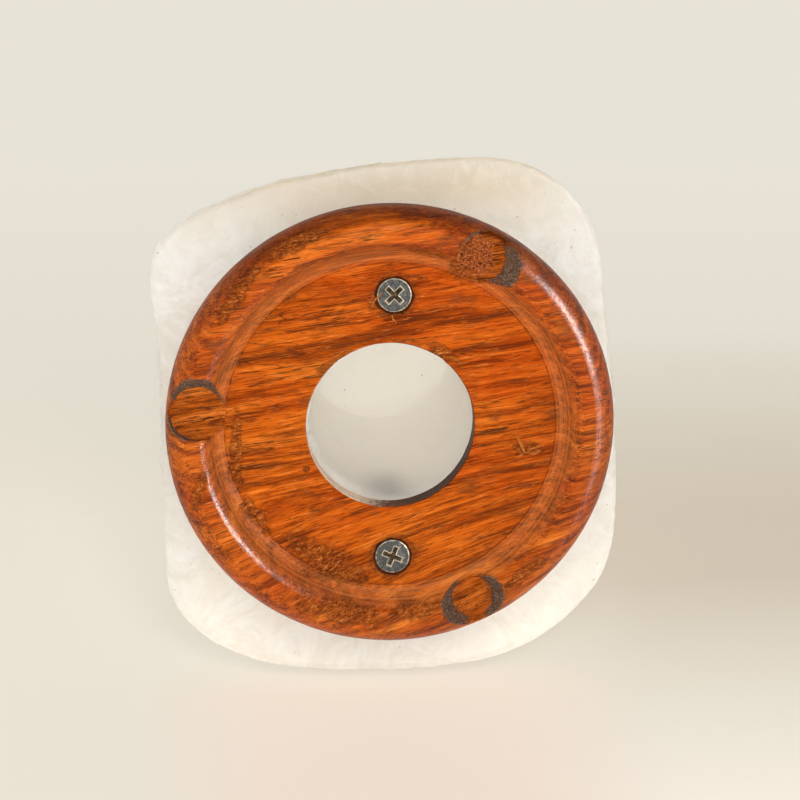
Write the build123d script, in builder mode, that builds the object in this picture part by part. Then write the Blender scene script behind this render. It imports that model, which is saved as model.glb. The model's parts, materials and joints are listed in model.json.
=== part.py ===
"""Salt crystal lamp: a hewn block of salt on a turned wooden base.

Millimetres, +Z up. The origin is the centre of the ring that the base rests on.
The light fitting and the three feet are off, so their hole and pockets are open.
"""
from build123d import *
from math import atan2, cos, degrees, radians, sin
import os

# Turned base, its mouldings given as widths in turn from the widest radius
base_radius = 55.0
base_height = 12.0
rim_widest_height = 6.8
top_bullnose_width = 3.5
bottom_bullnose_width = 5.4
land_width = 2.6
crown_width = 3.1
crown_height = 3.0
crown_curve = 5.6
cove_width = 2.9
cove_curve = 4.4
recess_depth = 5.5
groove_width = 0.7
groove_depth = 0.3

# Hole for the bulb holder
holder_hole_radius = 20.5
hole_lip_chamfer = 0.3

# Blind pockets for the feet, drilled by hand at uneven angles
foot_inset = 7.3
foot_angles = (-60.0, -172.9, 65.3)
foot_mouth_radius = 7.9
foot_floor_radius = 6.1
foot_depth = 5.2

# Countersunk wood screws: one on each side of the hole, placed by hand
screw_places = {"upper": (1.0, -32.4), "lower": (0.5, 33.4)}
screw_turns = {"upper": 45.0, "lower": 22.0}
head_radius = 4.2
head_edge = 0.5
head_sunk = 0.4
shank_radius = 2.25
screw_length = 30.0
point_length = 5.0
cross_reach = 2.3
cross_width = 1.1
cross_depth = 2.0
cross_taper = 14.0
counterbore_gap = 0.45
shank_hole_gap = 0.3

# Plastic wall plugs in the salt
plug_radius = 4.0
plug_length = 28.0
plug_nose = 3.0
plug_nose_radius = 2.9
plug_slot_width = 1.2
plug_slot_start = 9.0
plug_pilot_gap = 0.05
plug_hole_gap = 0.1
plug_hole_spare = 2.0

# Salt crystal: its widest outline, seen from above with X to the right
crystal_outline = (
    (57.4, 2.0), (57.8, 17.0), (54.6, 41.4), (44.6, 53.8), (32.0, 61.7),
    (8.0, 66.0), (-16.0, 66.0), (-38.2, 61.6), (-53.2, 49.6), (-56.6, 28.0),
    (-57.4, 0.0), (-58.2, -24.0), (-57.8, -43.0), (-41.6, -55.0),
    (-16.0, -62.4), (14.0, -65.6), (35.6, -63.2), (49.5, -51.2), (54.4, -28.0),
)
# Each level: height above the base, size across X and Y, shift in X and Y, twist in degrees
crystal_levels = (
    (0.0, 0.965, 0.968, 0.0, -0.8, 0.0),
    (4.0, 1.000, 1.000, 0.0, 0.4, 0.0),
    (14.0, 0.988, 0.978, 0.0, 1.6, 0.0),
    (28.0, 0.966, 0.948, -0.4, 2.8, 0.0),
    (60.0, 0.915, 0.875, -1.6, 4.0, -1.0),
    (98.0, 0.775, 0.740, -3.2, 4.8, 2.0),
    (124.0, 0.540, 0.510, -4.8, 3.4, 6.0),
    (141.0, 0.200, 0.190, -5.6, 1.8, 9.0),
)
# Each hewn face: compass direction, slope, and how deep it cuts in from the furthest point
hewn_faces = (
    (0.0, 90.0, 3.5),
    (15.0, 14.0, 2.5),
    (58.0, 20.0, 3.0),
    (100.0, 12.0, 3.0),
    (140.0, 18.0, 3.0),
    (185.0, 9.0, 2.0),
    (228.0, 16.0, 3.0),
    (275.0, 20.0, 3.0),
    (318.0, 12.0, 1.6),
    (35.0, 42.0, 4.0),
    (95.0, 50.0, 4.0),
    (155.0, 38.0, 4.5),
    (215.0, 48.0, 4.5),
    (280.0, 40.0, 4.0),
    (335.0, 54.0, 4.0),
    (60.0, 70.0, 7.5),
    (205.0, 62.0, 8.0),
)

# Bore for the bulb, a little off the base's own hole
bulb_bore_radius = 19.7
bulb_bore_depth = 88.0
bulb_bore_shift = (0.9, -0.9)
bulb_bore_end_radius = 12.0
bulb_bore_mouth_chamfer = 0.8

# What follows from the sizes above
base_top = Plane.XY.offset(base_height)
land_outer_radius = base_radius - bottom_bullnose_width
land_inner_radius = land_outer_radius - land_width
crown_inner_radius = land_inner_radius - crown_width
recess_radius = crown_inner_radius - cove_width
head_face_z = recess_depth + head_sunk
head_cone_height = head_radius - shank_radius
shank_start_z = head_face_z + head_edge + head_cone_height
screw_tip_z = head_face_z + screw_length
counterbore_radius = head_radius + counterbore_gap
shank_hole_radius = shank_radius + shank_hole_gap
seat_mouth_z = head_face_z + head_edge
foot_taper = degrees(atan2(foot_mouth_radius - foot_floor_radius, foot_depth))
foot_places = [
    ((base_radius - foot_inset) * cos(radians(a)), (base_radius - foot_inset) * sin(radians(a)))
    for a in foot_angles
]


def level_points(size_x, size_y, shift_x, shift_y, twist):
    """The crystal's outline at one level: resized, moved and turned about the axis."""
    c, s = cos(radians(twist)), sin(radians(twist))
    return [
        (size_x * (c * x - s * y) + shift_x, size_y * (s * x + c * y) + shift_y)
        for x, y in crystal_outline
    ]


def hewn_plane(direction, slope, cut):
    """The plane of a hewn face, with its normal pointing out of the crystal."""
    out, up = cos(radians(slope)), sin(radians(slope))
    normal = Vector(out * cos(radians(direction)), out * sin(radians(direction)), up)
    reach = max(
        normal.dot(Vector(x, y, base_height + height))
        for height, *shape in crystal_levels
        for x, y in level_points(*shape)
    )
    return Plane(origin=normal * (reach - cut), z_dir=normal)


def facing_down(place, z):
    """The plane at a place that faces down, from which holes are drilled up."""
    return Plane(origin=(*place, z), x_dir=(1, 0, 0), z_dir=(0, 0, -1))


def rings_of(piece, radius):
    """The piece's circular edges of one radius, from the lowest to the highest."""
    rings = piece.edges().filter_by(GeomType.CIRCLE)
    return rings.filter_by(lambda ring: abs(ring.radius - radius) < 0.001).sort_by(Axis.Z)


# The base is turned on a lathe, then drilled
with BuildPart() as wooden_base:
    with BuildSketch(Plane.XZ):
        with BuildLine():
            floor_line = Line(
                (holder_hole_radius, recess_depth),
                (recess_radius - groove_width, recess_depth),
            )
            Polyline(
                floor_line @ 1,
                (recess_radius - groove_width / 2, recess_depth + groove_depth),
                (recess_radius, recess_depth),
            )
            cove = RadiusArc(
                (recess_radius, recess_depth), (crown_inner_radius, crown_height), cove_curve
            )
            crown = RadiusArc(cove @ 1, (land_inner_radius, 0), -crown_curve)
            land = Line(crown @ 1, (land_outer_radius, 0))
            widest = (base_radius, rim_widest_height)
            TangentArc(widest, land @ 1, tangent=(0, -1))
            top = TangentArc(
                widest, (base_radius - top_bullnose_width, base_height), tangent=(0, 1)
            )
            Polyline(top @ 1, (holder_hole_radius, base_height), floor_line @ 0)
        make_face()
    revolve(axis=Axis.Z)
    chamfer(rings_of(wooden_base, holder_hole_radius), hole_lip_chamfer)

    with BuildSketch(Plane.XY):
        with Locations(*foot_places):
            Circle(foot_mouth_radius)
    extrude(amount=foot_depth, taper=foot_taper, mode=Mode.SUBTRACT)

    for place in screw_places.values():
        with Locations(facing_down(place, recess_depth)):
            Hole(counterbore_radius, depth=head_sunk + head_edge)
        with Locations(facing_down(place, seat_mouth_z)):
            CounterSinkHole(shank_hole_radius, head_radius)
wooden_base.part.label = "wooden_base"


# The crystal is a natural block, roughly square at the foot and hewn to a rounded top
with BuildPart() as salt_crystal:
    for height, *shape in crystal_levels:
        with BuildSketch(base_top.offset(height)):
            with BuildLine():
                Spline(*level_points(*shape), periodic=True)
            make_face()
    loft()
    for face in hewn_faces:
        split(bisect_by=hewn_plane(*face), keep=Keep.BOTTOM)

    bore_foot = (*bulb_bore_shift, base_height)
    with BuildSketch(Plane(origin=bore_foot, x_dir=(1, 0, 0), z_dir=(0, -1, 0))):
        with BuildLine():
            bore_wall = Polyline(
                (0, 0),
                (bulb_bore_radius + bulb_bore_mouth_chamfer, 0),
                (bulb_bore_radius, bulb_bore_mouth_chamfer),
                (bulb_bore_radius, bulb_bore_depth - bulb_bore_end_radius),
            )
            bore_end = TangentArc(
                bore_wall @ 1,
                (bulb_bore_radius - bulb_bore_end_radius, bulb_bore_depth),
                tangent=(0, 1),
            )
            Polyline(bore_end @ 1, (0, bulb_bore_depth), (0, 0))
        make_face()
    revolve(axis=Axis(origin=bore_foot, direction=(0, 0, 1)), mode=Mode.SUBTRACT)

    for place in screw_places.values():
        with Locations(facing_down(place, base_height)):
            Hole(plug_radius + plug_hole_gap, depth=plug_length + plug_hole_spare)
salt_crystal.part.label = "salt_crystal"


def make_screw(place, turn):
    """A countersunk cross-head wood screw, head down at the recess floor."""
    with BuildPart() as screw:
        with BuildSketch(Plane(origin=(*place, 0), x_dir=(1, 0, 0), z_dir=(0, -1, 0))):
            with BuildLine():
                Polyline(
                    (0, head_face_z),
                    (head_radius, head_face_z),
                    (head_radius, head_face_z + head_edge),
                    (shank_radius, shank_start_z),
                    (shank_radius, screw_tip_z - point_length),
                    (0, screw_tip_z),
                    close=True,
                )
            make_face()
        revolve(axis=Axis(origin=(*place, 0), direction=(0, 0, 1)))
        with BuildSketch(Plane.XY.offset(head_face_z)):
            with Locations(Location((*place, 0), turn)):
                Rectangle(2 * cross_reach, cross_width)
                Rectangle(cross_width, 2 * cross_reach)
        extrude(amount=cross_depth, taper=cross_taper, mode=Mode.SUBTRACT)
    return screw


def make_plug(place):
    """A slotted plastic plug, flush with the foot of the crystal."""
    with BuildPart() as plug:
        with BuildSketch(base_top):
            with Locations(place):
                Circle(plug_radius)
        extrude(amount=plug_length - plug_nose)
        with BuildSketch(base_top.offset(plug_length - plug_nose)):
            with Locations(place):
                Circle(plug_radius)
        with BuildSketch(base_top.offset(plug_length)):
            with Locations(place):
                Circle(plug_nose_radius)
        loft()
        with Locations(facing_down(place, base_height)):
            Hole(shank_radius + plug_pilot_gap)
        with BuildSketch(base_top.offset(plug_slot_start)):
            with Locations(place):
                Rectangle(2 * plug_radius, plug_slot_width)
        extrude(amount=plug_length, mode=Mode.SUBTRACT)
    return plug


os.makedirs("parts", exist_ok=True)
export_step(wooden_base.part, "parts/wooden_base.step")
export_step(salt_crystal.part, "parts/salt_crystal.step")
for side, place in screw_places.items():
    screw = make_screw(place, screw_turns[side])
    screw.part.label = f"base_screw_{side}"
    export_step(screw.part, f"parts/base_screw_{side}.step")
    plug = make_plug(place)
    plug.part.label = f"wall_plug_{side}"
    export_step(plug.part, f"parts/wall_plug_{side}.step")
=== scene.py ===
"""Looks of the salt crystal lamp: camera, light, stage, detailed pieces and materials.

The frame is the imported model's: the lamp stands on z = 0 with +Z up, and the photograph
looks at its underside with -Y at the top. Shapes are written in millimetres and turned
into Blender's metres by MM.
"""
import json
from functools import partial, reduce
from itertools import product
from math import cos, pi, radians, sin, tan

import bmesh
import bpy
import numpy as np
from mathutils import Matrix, Vector


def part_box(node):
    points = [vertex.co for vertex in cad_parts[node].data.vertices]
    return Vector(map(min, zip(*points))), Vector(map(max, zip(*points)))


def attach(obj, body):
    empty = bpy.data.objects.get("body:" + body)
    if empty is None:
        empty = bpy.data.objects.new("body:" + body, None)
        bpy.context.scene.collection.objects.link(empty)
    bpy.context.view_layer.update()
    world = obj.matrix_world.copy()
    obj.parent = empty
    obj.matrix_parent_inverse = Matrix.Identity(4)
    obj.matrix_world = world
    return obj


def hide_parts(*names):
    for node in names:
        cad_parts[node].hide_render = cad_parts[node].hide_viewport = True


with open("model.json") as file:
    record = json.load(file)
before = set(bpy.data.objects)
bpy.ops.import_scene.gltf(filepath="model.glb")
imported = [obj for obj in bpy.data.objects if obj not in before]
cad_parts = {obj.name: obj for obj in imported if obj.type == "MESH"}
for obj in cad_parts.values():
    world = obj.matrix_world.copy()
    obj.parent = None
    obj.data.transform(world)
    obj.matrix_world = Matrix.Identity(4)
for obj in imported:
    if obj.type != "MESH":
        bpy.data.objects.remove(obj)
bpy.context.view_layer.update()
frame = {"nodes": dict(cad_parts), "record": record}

MM = 0.001

# ---------------- sizes from the frame


def box_mm(node):
    """A node's lowest and highest corners in millimetres."""
    return [np.array(corner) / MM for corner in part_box(node)]


def middle_mm(node):
    """The middle of a node's box, in millimetres."""
    low, high = box_mm(node)
    return (low + high) / 2


mounts = {mount["name"]: mount for mount in frame["record"]["mounts"]}
BASE_RADIUS = box_mm("wooden_base")[1][0]
BASE_HEIGHT = box_mm("wooden_base")[1][2]
HOLE_RADIUS = mounts["holder_hole"]["dims"]["r_mm"]
FOOT_PLACES = [
    Vector(mount["pos_m"]) / MM for name, mount in mounts.items() if name.startswith("foot")
]
PLUGS = ("wall_plug_upper", "wall_plug_lower")
# The screws' nodes, and how far each one's cross is turned in degrees
SCREWS = {"base_screw_upper": 45, "base_screw_lower": 22}

# The base's mouldings, as widths in turn from the widest radius
RIM_WIDEST_HEIGHT = 6.8
TOP_BULLNOSE_WIDTH = 3.5
BOTTOM_BULLNOSE_WIDTH = 5.4
LAND_WIDTH = 2.6
CROWN_WIDTH = 3.1
CROWN_HEIGHT = 3.0
CROWN_CURVE = 5.6
COVE_WIDTH = 2.9
COVE_CURVE = 4.4
RECESS_DEPTH = 5.5
GROOVE_WIDTH = 0.7
GROOVE_DEPTH = 0.3
LIP_CHAMFER = 0.3
LAND_OUTER = BASE_RADIUS - BOTTOM_BULLNOSE_WIDTH
LAND_INNER = LAND_OUTER - LAND_WIDTH
CROWN_INNER = LAND_INNER - CROWN_WIDTH
RECESS_RADIUS = CROWN_INNER - COVE_WIDTH
FOOT_MOUTH_RADIUS = 7.9

# Screws
HEAD_RADIUS = box_mm("base_screw_upper")[1][0] - middle_mm("base_screw_upper")[0]
HEAD_FACE = box_mm("base_screw_upper")[0][2]
SCREW_TIP = box_mm("base_screw_upper")[1][2]
HEAD_EDGE = 0.5
SHANK_RADIUS = 2.25
SHANK_GAP = 0.3
COUNTERBORE_RADIUS = 4.8
COUNTERBORE_FLARE = 0.5
CHEWED_EDGE = 0.35

# Bulb bore in the salt
BORE_RADIUS = 19.7
BORE_DEPTH = 88.0
BORE_SHIFT = (0.9, -0.9)

# ---------------- camera

CAMERA_DISTANCE = 900.0
CAMERA_TILT = radians(14.2)
CAMERA_SWING = radians(3.3)
FIELD_OF_VIEW = radians(12.32)
AIM = Vector((2.0, -7.7, 0.0)) * MM


def look_at(thing, target, up):
    """Points a camera or lamp at a target, with up to the top of its view."""
    ahead = (target - thing.location).normalized()
    right = ahead.cross(up).normalized()
    turn = Matrix((right, right.cross(ahead), -ahead)).transposed()
    thing.matrix_world = Matrix.Translation(thing.location) @ turn.to_4x4()


camera = bpy.data.objects.new("camera", bpy.data.cameras.new("camera"))
camera.data.lens = camera.data.sensor_width / 2 / tan(FIELD_OF_VIEW / 2)
camera.data.clip_start = 0.01
away = Vector((-tan(CAMERA_SWING), -tan(CAMERA_TILT), -1)).normalized()
camera.location = away * CAMERA_DISTANCE * MM
look_at(camera, AIM, Vector((0, -1, 0)))
bpy.context.collection.objects.link(camera)
bpy.context.scene.camera = camera
bpy.context.scene.view_settings.view_transform = "Standard"

# ---------------- noise and mesh helpers

CRISP_ANGLE = radians(35)
DENT_SPREAD = 0.42


def cell_noise(places, seed):
    """Smooth random heights from -1 to 1 at places, which are counted in cells."""
    cell = np.floor(places).astype(np.int64)
    part = places - cell
    part = part * part * (3 - 2 * part)
    total = np.zeros(len(places))
    for corner in product((0, 1), repeat=3):
        c = cell + corner
        code = (c[:, 0] * 73856093) ^ (c[:, 1] * 19349663) ^ (c[:, 2] * 83492791) ^ (seed * 2654435)
        code = (code ^ (code >> 13)) * 1274126177
        height = ((code >> 9) & 0xFFFF) / 32767.5 - 1
        weight = np.prod(np.where(corner, part, 1 - part), axis=1)
        total += weight * height
    return total


def rough_noise(places, size, seed, octaves=4):
    """Several sizes of noise added, the largest with cells of the size given."""
    total = np.zeros(len(places))
    for octave in range(octaves):
        total += cell_noise(places / size * 2**octave, seed + octave) / 2**octave
    return total


def facet_dents(places, size, seed):
    """Shallow dents that meet in soft ridges, from 0 in a dent's middle up to about 1."""
    spot = places / size
    cell = np.floor(spot).astype(np.int64)
    nearest = np.full(len(spot), 9.0)
    for corner in product((-1, 0, 1), repeat=3):
        c = cell + corner
        middle = c + 0.5
        for axis in range(3):
            middle[:, axis] += DENT_SPREAD * cell_noise(c + 0.5 * (axis + 1), seed + 7 * axis)
        nearest = np.minimum(nearest, ((spot - middle) ** 2).sum(axis=1))
    return nearest


def from_axis(places, x=0.0, y=0.0):
    """How far each place is from the upright line through X and Y."""
    return np.hypot(places[:, 0] - x, places[:, 1] - y)


def outward(places):
    """The level direction away from the Z axis at each place."""
    return places[:, :2] / np.maximum(from_axis(places), 0.01)[:, None]


def smooth_step(low, high, value):
    """0 below low, 1 above high, and a soft rise between them."""
    t = np.clip((value - low) / (high - low), 0, 1)
    return t * t * (3 - 2 * t)


def vertices_of(mesh):
    """A mesh's vertices as an array in millimetres."""
    flat = np.empty(3 * len(mesh.vertices))
    mesh.vertices.foreach_get("co", flat)
    return flat.reshape(-1, 3) / MM


def normals_of(mesh):
    """A mesh's vertex normals as an array."""
    flat = np.empty(3 * len(mesh.vertices))
    mesh.vertex_normals.foreach_get("vector", flat)
    return flat.reshape(-1, 3)


def move_vertices(mesh, places):
    """Puts a mesh's vertices at places given in millimetres."""
    mesh.vertices.foreach_set("co", (places * MM).ravel())
    mesh.update()


def keep_mask(mesh, name, values):
    """Stores one value a vertex for the materials to read."""
    mask = mesh.attributes.new(name, "FLOAT", "POINT")
    mask.data.foreach_set("value", np.asarray(values, dtype=np.float32))


def add_object(name, data):
    """Links a new object with this mesh or light to the scene."""
    made = bpy.data.objects.new(name, data)
    bpy.context.collection.objects.link(made)
    return made


def ring_mesh(name, rings, closed=False):
    """A mesh through rings of points; it closes on its first ring or has a cap at each end."""
    count, segments, _ = rings.shape
    faces = []
    last = count if closed else count - 1
    for ring in range(last):
        here, there = ring * segments, (ring + 1) % count * segments
        for step in range(segments):
            after = (step + 1) % segments
            faces.append((here + step, here + after, there + after, there + step))
    if not closed:
        faces.append(tuple(range(segments))[::-1])
        faces.append(tuple(range(last * segments, count * segments)))
    mesh = bpy.data.meshes.new(name)
    mesh.from_pydata(rings.reshape(-1, 3) * MM, [], faces)
    mesh.update()
    return mesh


def turned_mesh(name, outline, segments, closed=False):
    """A mesh turned round Z from (radius, z) points."""
    outline = np.array(outline)
    angles = np.linspace(0, 2 * pi, segments, endpoint=False)
    rings = np.empty((len(outline), segments, 3))
    rings[..., 0] = outline[:, :1] * np.cos(angles)
    rings[..., 1] = outline[:, :1] * np.sin(angles)
    rings[..., 2] = outline[:, 1:]
    return ring_mesh(name, rings, closed)


def line(start, end, step):
    """Points from start to end about a step apart, without the end."""
    start, end = np.array(start, float), np.array(end, float)
    count = max(1, round(np.linalg.norm(end - start) / step))
    return [tuple(start + (end - start) * i / count) for i in range(count)]


def arc(start, end, radius, step):
    """Points on a circle from start to end, without the end.

    A positive radius bulges to the left of the way from start to end.
    """
    a, b = Vector(start), Vector(end)
    chord = b - a
    left = Vector((-chord.y, chord.x)).normalized()
    side = 1 if radius > 0 else -1
    back = (radius**2 - chord.length_squared / 4) ** 0.5
    centre = (a + b) / 2 - left * side * back
    first = a - centre
    turn = first.angle_signed(b - centre)
    count = max(1, round(abs(radius * turn) / step))
    points = []
    for i in range(count):
        spoke = first.copy()
        spoke.rotate(Matrix.Rotation(-turn * i / count, 2))
        points.append(tuple(centre + spoke))
    return points


def route(start, *legs):
    """Points from start through each leg's end: a leg is (end, step) or (end, step, radius)."""
    points = []
    for end, step, *radius in legs:
        points += arc(start, end, *radius, step) if radius else line(start, end, step)
        start = end
    return points


def cut_away(body, cutter):
    """Takes the cutter's volume out of the body and deletes the cutter."""
    cut = body.modifiers.new("cut", "BOOLEAN")
    cut.operation = "DIFFERENCE"
    cut.solver = "EXACT"
    cut.object = cutter
    apply_modifiers(body)
    bpy.data.objects.remove(cutter)


def apply_modifiers(thing):
    """Replaces an object's mesh by what its modifiers make of it."""
    made = bpy.data.meshes.new_from_object(
        thing.evaluated_get(bpy.context.evaluated_depsgraph_get())
    )
    thing.modifiers.clear()
    thing.data = made


def shade_with_crisp_edges(mesh):
    """Smooth shading, with edges sharper than CRISP_ANGLE kept crisp."""
    mesh.shade_smooth()
    mesh.set_sharp_from_angle(angle=CRISP_ANGLE)


# ---------------- wooden base

# How far apart the base's section has its points
WOOD_STEP = 0.36
GROOVE_STEP = 0.25
SIDE_STEP = 0.8
TOP_STEP = 3.0
LIP_STEP = 1.0
WALL_STEP = 0.5
WOOD_SEGMENTS = 720
GRAIN_TURN = radians(-8.5)
# The whole turned surface wavers by this much, and ripples along its grain
WAVER_SIZE, WAVER_DEPTH = 9.0, 0.05
RIPPLE_DEPTH = 0.03


def base_outline():
    """The base's turned section as (radius, z) points, going round it once."""
    bottom_curve = (BOTTOM_BULLNOSE_WIDTH**2 + RIM_WIDEST_HEIGHT**2) / 2 / BOTTOM_BULLNOSE_WIDTH
    rise = BASE_HEIGHT - RIM_WIDEST_HEIGHT
    top_curve = (TOP_BULLNOSE_WIDTH**2 + rise**2) / 2 / TOP_BULLNOSE_WIDTH
    groove_edge = (RECESS_RADIUS - GROOVE_WIDTH, RECESS_DEPTH)
    groove_floor = (RECESS_RADIUS - GROOVE_WIDTH / 2, RECESS_DEPTH + GROOVE_DEPTH)
    lip = HOLE_RADIUS + LIP_CHAMFER
    upper_wall = (HOLE_RADIUS, BASE_HEIGHT - LIP_CHAMFER)
    lower_wall = (HOLE_RADIUS, RECESS_DEPTH + LIP_CHAMFER)
    return route(
        (lip, RECESS_DEPTH),
        (groove_edge, WOOD_STEP),
        (groove_floor, GROOVE_STEP),
        ((RECESS_RADIUS, RECESS_DEPTH), GROOVE_STEP),
        ((CROWN_INNER, CROWN_HEIGHT), WOOD_STEP, COVE_CURVE),
        ((LAND_INNER, 0), WOOD_STEP, -CROWN_CURVE),
        ((LAND_OUTER, 0), WOOD_STEP),
        ((BASE_RADIUS, RIM_WIDEST_HEIGHT), WOOD_STEP, -bottom_curve),
        ((BASE_RADIUS - TOP_BULLNOSE_WIDTH, BASE_HEIGHT), SIDE_STEP, -top_curve),
        ((lip, BASE_HEIGHT), TOP_STEP),
        (upper_wall, LIP_STEP),
        (lower_wall, WALL_STEP),
        ((lip, RECESS_DEPTH), LIP_STEP),
    )


# Torn grain on the underside: middle X and Y, half length and half width, turn in degrees, depth
TORN_PATCHES = (
    (-16, 34.4, 11, 4.2, 25, 0.55),
    (-37.9, 5.5, 1.6, 9, 3, 0.40),
    (-33, 22, 2, 5, -36, 0.35),
    (-24.5, -31.9, 2.4, 0.7, -25, 0.70),
    (13.3, -17.8, 4.6, 1.7, 36, 0.40),
    (3.1, -21.2, 2.8, 0.5, 4, 0.35),
    (-13.8, -16.2, 4.4, 1.3, -36, 0.30),
    (6.5, -37, 3, 0.5, 12, 0.30),
    (-4.6, -31.5, 0.9, 3.4, 8, 0.30),
    (33.6, 6.4, 3.4, 1.5, 8, 0.35),
    (-22.4, -46.6, 9, 1.7, -25, 0.45),
    (-36.5, -34.6, 8, 1.5, -55, 0.45),
    (17.4, -42.4, 2.8, 5.4, 8, 0.70),
    (9, -43.4, 5, 1, 12, 0.25),
    (32, 37.5, 6.5, 1.8, -42, 0.35),
    (5.7, 45.8, 7, 2, -8, 0.30),
    (-12, 45.8, 13, 2.8, 14, 0.18),
    (-47, 14, 1.4, 5, 14, 0.25),
)
# Small deep pits: X, Y, radius and depth
PITS = (
    (-21.3, 30.9, 0.7, 1.1), (-23.6, 30.4, 0.5, 0.7), (-5.9, 39, 0.6, 0.9),
    (-38.6, 7.6, 0.6, 0.8), (-36.8, 13.8, 0.6, 0.7), (-30.6, 26.2, 0.8, 0.8),
    (-20.6, 10.6, 0.7, 0.7), (10.6, -18.8, 0.5, 0.6),
)
# The chewed ring round each screw: its inner and outer radius, how torn it is, and its depth
CHEWED_RING = (5.5, 6.7)
CHEWED_AMOUNT, CHEWED_DEPTH = 0.5, 0.15
# How ragged the edges of torn places are, and in cells of what size
TORN_EDGE, TORN_EDGE_SIZE = 0.35, 2.5
# Each pocket's floor isn't under its mouth: the drill was held askew, by this much in X and Y
FOOT_SKEWS = ((-1.9, -0.5), (0.3, 2.3), (0.3, 0.6))
FOOT_FLOORS = (5.8, 6.6, 4.9)
FOOT_ROUGHNESS = (0.35, 0.26, 0.40)
# The floors lie this much deeper than the solid's, which leaves room for their rough fibres
FLOOR_SPARE = 0.6
# Cutters start this far below the face that they cut
CUT_BELOW = 1.0
CUTTER_STEP = 0.35
POCKET_SEGMENTS = 120
SCREW_SEGMENTS = 96
# The arcs of each pocket's wall painted dark grey as end grain and painted shade: middle and half
# width, in degrees from X to Y
END_GRAIN_AND_SHADE_ARCS = (((25, 50), (-120, 22)), ((-80, 75), (135, 40)), ((165, 65), (-5, 60)))


def torn_amount(places):
    """How torn the underside is at each place, from 0 to 1, and how deep in millimetres."""
    amount, depth = np.zeros(len(places)), np.zeros(len(places))
    edge = TORN_EDGE * rough_noise(places, TORN_EDGE_SIZE, 31)
    for x, y, half_x, half_y, turn, deep in TORN_PATCHES:
        c, s = cos(radians(turn)), sin(radians(turn))
        across, along = places[:, 0] - x, places[:, 1] - y
        u, v = (c * across + s * along) / half_x, (c * along - s * across) / half_y
        patch = smooth_step(1.25, 0.55, np.hypot(u, v) + edge)
        amount = np.maximum(amount, patch)
        depth = np.maximum(depth, patch * deep)
    for x, y, radius, deep in PITS:
        pit = smooth_step(1.5, 0.5, from_axis(places, x, y) / radius + edge)
        amount = np.maximum(amount, pit)
        depth = np.maximum(depth, 2 * pit * deep)
    for node in SCREWS:
        x, y, _ = middle_mm(node)
        ring = smooth_step(CHEWED_RING[1], CHEWED_RING[0], from_axis(places, x, y) + edge)
        amount = np.maximum(amount, CHEWED_AMOUNT * ring)
        depth = np.maximum(depth, CHEWED_DEPTH * ring)
    below = smooth_step(BASE_HEIGHT - 3, RIM_WIDEST_HEIGHT, places[:, 2])
    return amount * below, depth * below


def pocket_cutter(place, floor_radius, skew, roughness, seed):
    """What the drill took out for one foot, with rough walls and a fibrous floor."""
    deep = place.z + FLOOR_SPARE
    slope = (FOOT_MOUTH_RADIUS - floor_radius) / deep
    mouth = FOOT_MOUTH_RADIUS + slope * CUT_BELOW
    outline = [(0.4 * i, -CUT_BELOW) for i in range(1, 20)]
    outline += route(
        (mouth, -CUT_BELOW), ((floor_radius, deep), CUTTER_STEP), ((0.3, deep), CUTTER_STEP)
    )
    mesh = turned_mesh("pocket_cutter", outline, POCKET_SEGMENTS)
    p = vertices_of(mesh)
    out = outward(p)
    wall = smooth_step(floor_radius * 0.85, floor_radius, from_axis(p))
    fibres = rough_noise(p * (1, 1, 0.35), 1.3, seed) * roughness
    p[:, :2] += out * (fibres * wall)[:, None]
    floor = smooth_step(deep - 0.6, deep, p[:, 2]) * (1 - wall)
    p[:, 2] += floor * roughness * rough_noise(p * (0.25, 1.2, 1), 1.2, seed + 9)
    p[:, :2] += np.clip(p[:, 2:] / deep, 0, 1) * skew
    move_vertices(mesh, p + (place.x, place.y, 0))
    return add_object("pocket_cutter", mesh)


def screw_cutter(node):
    """The counterbore and the screw's own hole, a little chewed at the edge."""
    x, y, _ = middle_mm(node)
    seat = HEAD_FACE + HEAD_EDGE
    shank_hole = SHANK_RADIUS + SHANK_GAP
    neck = seat + HEAD_RADIUS - shank_hole
    start, end = RECESS_DEPTH - 2.5 * CUT_BELOW, BASE_HEIGHT + CUT_BELOW
    mouth = COUNTERBORE_RADIUS + COUNTERBORE_FLARE
    flare_low, flare_high = RECESS_DEPTH - 0.1, RECESS_DEPTH + 0.3
    outline = [(0.6 * i, start) for i in range(1, 8)]
    outline += route(
        (mouth, start),
        ((mouth, flare_low), 0.5),
        ((COUNTERBORE_RADIUS, flare_high), 0.2),
        ((COUNTERBORE_RADIUS, seat), 0.2),
    )
    outline += route((HEAD_RADIUS, seat), ((shank_hole, neck), 0.4), ((shank_hole, end), 1.5))
    outline += [(shank_hole * 0.5, end)]
    mesh = turned_mesh("screw_cutter", outline, SCREW_SEGMENTS)
    p = vertices_of(mesh)
    out = outward(p)
    chewed = smooth_step(seat, RECESS_DEPTH, p[:, 2]) * smooth_step(3, 4.5, from_axis(p))
    p += (x, y, 0)
    p[:, :2] += out * (chewed * CHEWED_EDGE * rough_noise(p, 1.6, 77))[:, None]
    move_vertices(mesh, p)
    return add_object("screw_cutter", mesh)


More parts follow.
